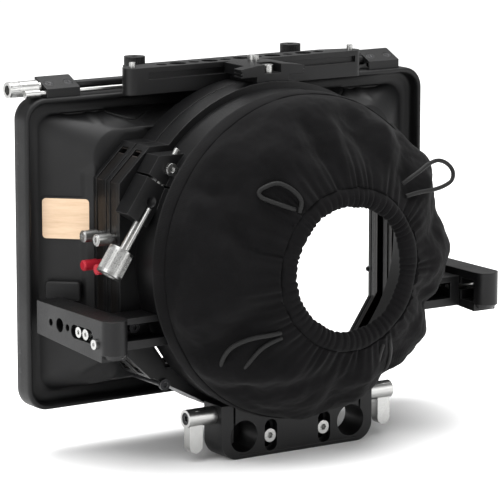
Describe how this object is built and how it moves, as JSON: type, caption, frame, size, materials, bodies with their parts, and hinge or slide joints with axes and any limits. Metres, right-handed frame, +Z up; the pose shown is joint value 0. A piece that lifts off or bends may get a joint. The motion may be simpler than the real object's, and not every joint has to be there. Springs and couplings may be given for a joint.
{
  "type": "matte box",
  "caption": "Rod-mounted cine matte box: rectangular hood, two filter stages, split lens clamp ring and a gathered fabric donut, with top accessory bar and side arms.",
  "frame": {"origin": "midway between the two rod axes, on the rear face of the rod bracket", "axes": "+X to the right seen from behind, +Y forward along the lens axis towards the subject, +Z up"},
  "size_m": [0.2275, 0.1163, 0.1818],
  "materials": {
    "black_metal": "black anodised, fine satin",
    "dark_metal": "blackened steel screws",
    "silver_metal": "bare satin steel",
    "tray_metal": "black anodised with pale edge bands",
    "hood_plastic": "moulded, fine matt grain",
    "red_plastic": "red, smooth",
    "label_wood": "pale veneer, no lettering",
    "donut_cloth": "black woven nylon",
    "cord_elastic": "black elastic cord",
    "hoop_plastic": "matt black"
  },
  "bodies": {
    "rod_bracket": {"rod_bracket": "black_metal"},
    "lever_left": {"lever_left": "silver_metal", "lever_screw_left": "dark_metal"},
    "lever_right": {"lever_right": "silver_metal", "lever_screw_right": "dark_metal"},
    "clamp_knob": {"clamp_knob": "silver_metal", "clamp_bolt": "silver_metal"},
    "rear_tray": {"rear_tray": "tray_metal", "rear_tray_knob": "silver_metal"},
    "front_tray": {"front_tray": "tray_metal", "front_tray_knob": "silver_metal"},
    "rear_button": {"rear_tray_button": "red_plastic"},
    "front_button": {"front_tray_button": "red_plastic"},
    "flag_knob": {"flag_knob": "silver_metal"},
    "flag_carrier": {"flag_carrier": "black_metal", "flag_studs": "silver_metal"},
    "flag_nut_left": {"flag_nut_left": "black_metal"},
    "flag_nut_right": {"flag_nut_right": "black_metal"},
    "latch_pin": {"latch_pin": "silver_metal"},
    "arm_left": {"arm_left": "black_metal", "arm_stop_screw_left": "silver_metal"},
    "arm_right": {"arm_right": "black_metal", "arm_stop_screw_right": "silver_metal"},
    "matte_box": {"riser_plate": "black_metal", "height_screws": "silver_metal", "riser_screws": "dark_metal", "rear_stage": "black_metal", "front_stage": "black_metal", "stage_screws": "dark_metal", "clamp_ring": "black_metal", "clamp_guide_pin": "silver_metal", "clamp_face_screw": "silver_metal", "donut_hoop": "hoop_plastic", "donut_fabric": "donut_cloth", "draw_loop_upper_left": "cord_elastic", "draw_loop_lower_left": "cord_elastic", "draw_loop_upper_right": "cord_elastic", "draw_loop_lower_right": "cord_elastic", "hood_shell": "hood_plastic", "hood_inner_frame": "black_metal", "hood_screws": "dark_metal", "label_plate": "label_wood", "top_bar": "black_metal", "top_bracket": "black_metal", "top_bracket_screws": "silver_metal", "bar_studs": "silver_metal", "hinge_block_left": "black_metal", "hinge_block_right": "black_metal", "hinge_block_screws": "dark_metal", "flag_rod": "black_metal", "side_bracket_left": "black_metal", "side_bracket_right": "black_metal", "side_bracket_screws": "dark_metal", "arm_screws_left": "silver_metal", "arm_screws_right": "silver_metal"}
  },
  "joints": [
    {"name": "height_slide", "type": "slide", "parent": "rod_bracket", "child": "matte_box", "axis": [0, 0, 1], "range_m": [0, 0.0044]},
    {"name": "lever_turn_left", "type": "hinge", "parent": "rod_bracket", "child": "lever_left", "pos_m": [-0.05, 0.0075, 0.0104], "axis": [1, 0, 0], "range_deg": [-90, 90]},
    {"name": "lever_turn_right", "type": "hinge", "parent": "rod_bracket", "child": "lever_right", "pos_m": [0.05, 0.0075, 0.0104], "axis": [1, 0, 0], "range_deg": [-90, 90]},
    {"name": "clamp_knob_turn", "type": "hinge", "parent": "matte_box", "child": "clamp_knob", "pos_m": [-0.08741, 0.0127, 0.09139], "axis": [-0.5635, 0, -0.8261], "continuous": true},
    {"name": "rear_tray_slide", "type": "slide", "parent": "matte_box", "child": "rear_tray", "axis": [-1, 0, 0], "range_m": [0, 0.01]},
    {"name": "rear_button_press", "type": "slide", "parent": "rear_tray", "child": "rear_button", "axis": [1, 0, 0], "range_m": [0, 0.002], "stiffness_N_per_m": 400},
    {"name": "front_tray_slide", "type": "slide", "parent": "matte_box", "child": "front_tray", "axis": [-1, 0, 0], "range_m": [0, 0.01]},
    {"name": "front_button_press", "type": "slide", "parent": "front_tray", "child": "front_button", "axis": [1, 0, 0], "range_m": [0, 0.002], "stiffness_N_per_m": 400},
    {"name": "flag_knob_turn", "type": "hinge", "parent": "matte_box", "child": "flag_knob", "pos_m": [-0.105, 0.0655, 0.1602], "axis": [-1, 0, 0], "continuous": true},
    {"name": "flag_tilt", "type": "hinge", "parent": "matte_box", "child": "flag_carrier", "pos_m": [0, 0.0655, 0.1602], "axis": [1, 0, 0], "range_deg": [-60, 50]},
    {"name": "latch_slide", "type": "slide", "parent": "matte_box", "child": "latch_pin", "axis": [-1, 0, 0], "range_m": [0, 0.012]},
    {"name": "flag_nut_turn_left", "type": "hinge", "parent": "flag_carrier", "child": "flag_nut_left", "pos_m": [-0.044, 0.072, 0.1679], "axis": [0, 0, 1], "continuous": true},
    {"name": "arm_slide_left", "type": "slide", "parent": "matte_box", "child": "arm_left", "axis": [0, -1, 0], "range_m": [0, 0.0025]},
    {"name": "flag_nut_turn_right", "type": "hinge", "parent": "flag_carrier", "child": "flag_nut_right", "pos_m": [0.044, 0.072, 0.1679], "axis": [0, 0, 1], "continuous": true},
    {"name": "arm_slide_right", "type": "slide", "parent": "matte_box", "child": "arm_right", "axis": [0, -1, 0], "range_m": [0, 0.0025]}
  ]
}
